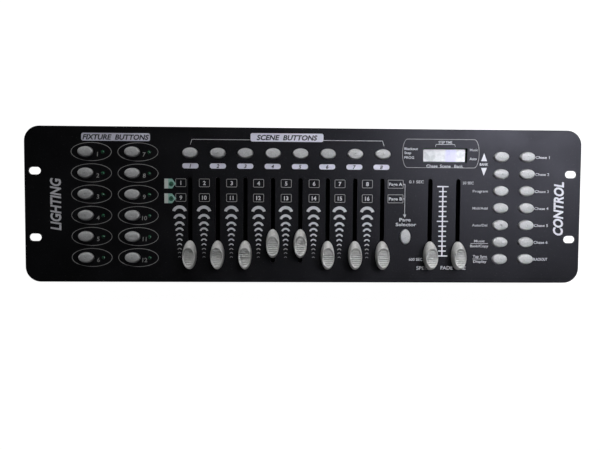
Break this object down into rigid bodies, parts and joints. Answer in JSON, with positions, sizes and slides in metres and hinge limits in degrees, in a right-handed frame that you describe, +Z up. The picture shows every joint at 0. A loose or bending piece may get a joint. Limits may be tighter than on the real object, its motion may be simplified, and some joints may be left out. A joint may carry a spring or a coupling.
{
  "type": "lighting control desk",
  "caption": "Flat rack-mount lighting control desk with oval grey push buttons, slide faders, a small recessed display, rack ears and a row of sockets on the back.",
  "frame": {"origin": "on the surface the desk stands on, under the centre of the front panel", "axes": "+X to the operator's right along the panel, +Y away from the operator towards the sockets, +Z up"},
  "size_m": [0.4826, 0.134, 0.073],
  "materials": {
    "panel_black": "fine powder coat",
    "tray_black": "fine powder coat",
    "board_green": "glass-fibre board",
    "ribbon_grey": "flexible sheath",
    "housing_steel": "black phosphate",
    "switch_black": "moulded",
    "led_green": "tinted clear",
    "display_dark": "smooth",
    "film_white": "milky protective film",
    "socket_black": "moulded, plated contacts",
    "jack_black": "moulded, plated barrel",
    "foot_rubber": "matt",
    "screw_zinc": "black zinc",
    "rocker_black": "smooth",
    "button_grey": "satin moulding",
    "knob_grey": "satin moulding"
  },
  "bodies": {
    "desk": {"front_panel": "panel_black", "base_tray": "tray_black", "circuit_boards": "board_green", "ribbon_cable": "ribbon_grey", "fader_housings": "housing_steel", "tact_switches": "switch_black", "indicator_leds": "led_green", "display_module": "display_dark", "display_film": "film_white", "dmx_sockets": "socket_black", "signal_jacks": "jack_black", "power_switch_housing": "switch_black", "rubber_feet": "foot_rubber", "fasteners": "screw_zinc"},
    "scanner_button_1": {"scanner_button_1": "button_grey"},
    "scanner_button_2": {"scanner_button_2": "button_grey"},
    "scanner_button_3": {"scanner_button_3": "button_grey"},
    "scanner_button_4": {"scanner_button_4": "button_grey"},
    "scanner_button_5": {"scanner_button_5": "button_grey"},
    "scanner_button_6": {"scanner_button_6": "button_grey"},
    "scanner_button_7": {"scanner_button_7": "button_grey"},
    "scanner_button_8": {"scanner_button_8": "button_grey"},
    "scanner_button_9": {"scanner_button_9": "button_grey"},
    "scanner_button_10": {"scanner_button_10": "button_grey"},
    "scanner_button_11": {"scanner_button_11": "button_grey"},
    "scanner_button_12": {"scanner_button_12": "button_grey"},
    "scene_button_1": {"scene_button_1": "button_grey"},
    "scene_button_2": {"scene_button_2": "button_grey"},
    "scene_button_3": {"scene_button_3": "button_grey"},
    "scene_button_4": {"scene_button_4": "button_grey"},
    "scene_button_5": {"scene_button_5": "button_grey"},
    "scene_button_6": {"scene_button_6": "button_grey"},
    "scene_button_7": {"scene_button_7": "button_grey"},
    "scene_button_8": {"scene_button_8": "button_grey"},
    "bank_up_button": {"bank_up_button": "button_grey"},
    "bank_down_button": {"bank_down_button": "button_grey"},
    "program_button": {"program_button": "button_grey"},
    "midi_button": {"midi_button": "button_grey"},
    "auto_button": {"auto_button": "button_grey"},
    "music_button": {"music_button": "button_grey"},
    "tap_button": {"tap_button": "button_grey"},
    "chase_1_button": {"chase_1_button": "button_grey"},
    "chase_2_button": {"chase_2_button": "button_grey"},
    "chase_3_button": {"chase_3_button": "button_grey"},
    "chase_4_button": {"chase_4_button": "button_grey"},
    "chase_5_button": {"chase_5_button": "button_grey"},
    "chase_6_button": {"chase_6_button": "button_grey"},
    "blackout_button": {"blackout_button": "button_grey"},
    "page_selector_button": {"page_selector_button": "button_grey"},
    "channel_fader_1": {"channel_fader_1": "knob_grey"},
    "channel_fader_2": {"channel_fader_2": "knob_grey"},
    "channel_fader_3": {"channel_fader_3": "knob_grey"},
    "channel_fader_4": {"channel_fader_4": "knob_grey"},
    "channel_fader_5": {"channel_fader_5": "knob_grey"},
    "channel_fader_6": {"channel_fader_6": "knob_grey"},
    "channel_fader_7": {"channel_fader_7": "knob_grey"},
    "channel_fader_8": {"channel_fader_8": "knob_grey"},
    "speed_fader": {"speed_fader": "knob_grey"},
    "fade_time_fader": {"fade_time_fader": "knob_grey"},
    "power_rocker": {"power_rocker": "rocker_black"}
  },
  "joints": [
    {"name": "channel_fader_1_slide", "type": "slide", "parent": "desk", "child": "channel_fader_1", "axis": [0, 1, 0], "range_m": [0, 0.06]},
    {"name": "channel_fader_2_slide", "type": "slide", "parent": "desk", "child": "channel_fader_2", "axis": [0, 1, 0], "range_m": [0, 0.06]},
    {"name": "channel_fader_3_slide", "type": "slide", "parent": "desk", "child": "channel_fader_3", "axis": [0, 1, 0], "range_m": [0, 0.06]},
    {"name": "channel_fader_4_slide", "type": "slide", "parent": "desk", "child": "channel_fader_4", "axis": [0, 1, 0], "range_m": [-0.01, 0.05]},
    {"name": "channel_fader_5_slide", "type": "slide", "parent": "desk", "child": "channel_fader_5", "axis": [0, 1, 0], "range_m": [-0.01, 0.05]},
    {"name": "channel_fader_6_slide", "type": "slide", "parent": "desk", "child": "channel_fader_6", "axis": [0, 1, 0], "range_m": [0, 0.06]},
    {"name": "channel_fader_7_slide", "type": "slide", "parent": "desk", "child": "channel_fader_7", "axis": [0, 1, 0], "range_m": [0, 0.06]},
    {"name": "channel_fader_8_slide", "type": "slide", "parent": "desk", "child": "channel_fader_8", "axis": [0, 1, 0], "range_m": [0, 0.06]},
    {"name": "speed_fader_slide", "type": "slide", "parent": "desk", "child": "speed_fader", "axis": [0, 1, 0], "range_m": [0, 0.06]},
    {"name": "fade_time_fader_slide", "type": "slide", "parent": "desk", "child": "fade_time_fader", "axis": [0, 1, 0], "range_m": [0, 0.06]},
    {"name": "power_rocker_tilt", "type": "hinge", "parent": "desk", "child": "power_rocker", "pos_m": [-0.185, 0.0525, 0.029], "axis": [0, 0, 1], "range_deg": [0, 18]},
    {"name": "page_selector_button_press", "type": "slide", "parent": "desk", "child": "page_selector_button", "axis": [0, 0, -1], "range_m": [0, 0.0005], "stiffness_N_per_m": 120, "springref_m": -0.002},
    {"name": "chase_1_button_press", "type": "slide", "parent": "desk", "child": "chase_1_button", "axis": [0, 0, -1], "range_m": [0, 0.0005], "stiffness_N_per_m": 120, "springref_m": -0.002},
    {"name": "chase_2_button_press", "type": "slide", "parent": "desk", "child": "chase_2_button", "axis": [0, 0, -1], "range_m": [0, 0.0005], "stiffness_N_per_m": 120, "springref_m": -0.002},
    {"name": "chase_3_button_press", "type": "slide", "parent": "desk", "child": "chase_3_button", "axis": [0, 0, -1], "range_m": [0, 0.0005], "stiffness_N_per_m": 120, "springref_m": -0.002},
    {"name": "chase_4_button_press", "type": "slide", "parent": "desk", "child": "chase_4_button", "axis": [0, 0, -1], "range_m": [0, 0.0005], "stiffness_N_per_m": 120, "springref_m": -0.002},
    {"name": "chase_5_button_press", "type": "slide", "parent": "desk", "child": "chase_5_button", "axis": [0, 0, -1], "range_m": [0, 0.0005], "stiffness_N_per_m": 120, "springref_m": -0.002},
    {"name": "chase_6_button_press", "type": "slide", "parent": "desk", "child": "chase_6_button", "axis": [0, 0, -1], "range_m": [0, 0.0005], "stiffness_N_per_m": 120, "springref_m": -0.002},
    {"name": "blackout_button_press", "type": "slide", "parent": "desk", "child": "blackout_button", "axis": [0, 0, -1], "range_m": [0, 0.0005], "stiffness_N_per_m": 120, "springref_m": -0.002},
    {"name": "bank_up_button_press", "type": "slide", "parent": "desk", "child": "bank_up_button", "axis": [0, 0, -1], "range_m": [0, 0.0005], "stiffness_N_per_m": 120, "springref_m": -0.002},
    {"name": "bank_down_button_press", "type": "slide", "parent": "desk", "child": "bank_down_button", "axis": [0, 0, -1], "range_m": [0, 0.0005], "stiffness_N_per_m": 120, "springref_m": -0.002},
    {"name": "program_button_press", "type": "slide", "parent": "desk", "child": "program_button", "axis": [0, 0, -1], "range_m": [0, 0.0005], "stiffness_N_per_m": 120, "springref_m": -0.002},
    {"name": "midi_button_press", "type": "slide", "parent": "desk", "child": "midi_button", "axis": [0, 0, -1], "range_m": [0, 0.0005], "stiffness_N_per_m": 120, "springref_m": -0.002},
    {"name": "auto_button_press", "type": "slide", "parent": "desk", "child": "auto_button", "axis": [0, 0, -1], "range_m": [0, 0.0005], "stiffness_N_per_m": 120, "springref_m": -0.002},
    {"name": "music_button_press", "type": "slide", "parent": "desk", "child": "music_button", "axis": [0, 0, -1], "range_m": [0, 0.0005], "stiffness_N_per_m": 120, "springref_m": -0.002},
    {"name": "tap_button_press", "type": "slide", "parent": "desk", "child": "tap_button", "axis": [0, 0, -1], "range_m": [0, 0.0005], "stiffness_N_per_m": 120, "springref_m": -0.002},
    {"name": "scene_button_1_press", "type": "slide", "parent": "desk", "child": "scene_button_1", "axis": [0, 0, -1], "range_m": [0, 0.0005], "stiffness_N_per_m": 120, "springref_m": -0.002},
    {"name": "scene_button_2_press", "type": "slide", "parent": "desk", "child": "scene_button_2", "axis": [0, 0, -1], "range_m": [0, 0.0005], "stiffness_N_per_m": 120, "springref_m": -0.002},
    {"name": "scene_button_3_press", "type": "slide", "parent": "desk", "child": "scene_button_3", "axis": [0, 0, -1], "range_m": [0, 0.0005], "stiffness_N_per_m": 120, "springref_m": -0.002},
    {"name": "scene_button_4_press", "type": "slide", "parent": "desk", "child": "scene_button_4", "axis": [0, 0, -1], "range_m": [0, 0.0005], "stiffness_N_per_m": 120, "springref_m": -0.002},
    {"name": "scene_button_5_press", "type": "slide", "parent": "desk", "child": "scene_button_5", "axis": [0, 0, -1], "range_m": [0, 0.0005], "stiffness_N_per_m": 120, "springref_m": -0.002},
    {"name": "scene_button_6_press", "type": "slide", "parent": "desk", "child": "scene_button_6", "axis": [0, 0, -1], "range_m": [0, 0.0005], "stiffness_N_per_m": 120, "springref_m": -0.002},
    {"name": "scene_button_7_press", "type": "slide", "parent": "desk", "child": "scene_button_7", "axis": [0, 0, -1], "range_m": [0, 0.0005], "stiffness_N_per_m": 120, "springref_m": -0.002},
    {"name": "scene_button_8_press", "type": "slide", "parent": "desk", "child": "scene_button_8", "axis": [0, 0, -1], "range_m": [0, 0.0005], "stiffness_N_per_m": 120, "springref_m": -0.002},
    {"name": "scanner_button_1_press", "type": "slide", "parent": "desk", "child": "scanner_button_1", "axis": [0, 0, -1], "range_m": [0, 0.0005], "stiffness_N_per_m": 120, "springref_m": -0.002},
    {"name": "scanner_button_2_press", "type": "slide", "parent": "desk", "child": "scanner_button_2", "axis": [0, 0, -1], "range_m": [0, 0.0005], "stiffness_N_per_m": 120, "springref_m": -0.002},
    {"name": "scanner_button_3_press", "type": "slide", "parent": "desk", "child": "scanner_button_3", "axis": [0, 0, -1], "range_m": [0, 0.0005], "stiffness_N_per_m": 120, "springref_m": -0.002},
    {"name": "scanner_button_4_press", "type": "slide", "parent": "desk", "child": "scanner_button_4", "axis": [0, 0, -1], "range_m": [0, 0.0005], "stiffness_N_per_m": 120, "springref_m": -0.002},
    {"name": "scanner_button_5_press", "type": "slide", "parent": "desk", "child": "scanner_button_5", "axis": [0, 0, -1], "range_m": [0, 0.0005], "stiffness_N_per_m": 120, "springref_m": -0.002},
    {"name": "scanner_button_6_press", "type": "slide", "parent": "desk", "child": "scanner_button_6", "axis": [0, 0, -1], "range_m": [0, 0.0005], "stiffness_N_per_m": 120, "springref_m": -0.002},
    {"name": "scanner_button_7_press", "type": "slide", "parent": "desk", "child": "scanner_button_7", "axis": [0, 0, -1], "range_m": [0, 0.0005], "stiffness_N_per_m": 120, "springref_m": -0.002},
    {"name": "scanner_button_8_press", "type": "slide", "parent": "desk", "child": "scanner_button_8", "axis": [0, 0, -1], "range_m": [0, 0.0005], "stiffness_N_per_m": 120, "springref_m": -0.002},
    {"name": "scanner_button_9_press", "type": "slide", "parent": "desk", "child": "scanner_button_9", "axis": [0, 0, -1], "range_m": [0, 0.0005], "stiffness_N_per_m": 120, "springref_m": -0.002},
    {"name": "scanner_button_10_press", "type": "slide", "parent": "desk", "child": "scanner_button_10", "axis": [0, 0, -1], "range_m": [0, 0.0005], "stiffness_N_per_m": 120, "springref_m": -0.002},
    {"name": "scanner_button_11_press", "type": "slide", "parent": "desk", "child": "scanner_button_11", "axis": [0, 0, -1], "range_m": [0, 0.0005], "stiffness_N_per_m": 120, "springref_m": -0.002},
    {"name": "scanner_button_12_press", "type": "slide", "parent": "desk", "child": "scanner_button_12", "axis": [0, 0, -1], "range_m": [0, 0.0005], "stiffness_N_per_m": 120, "springref_m": -0.002}
  ]
}
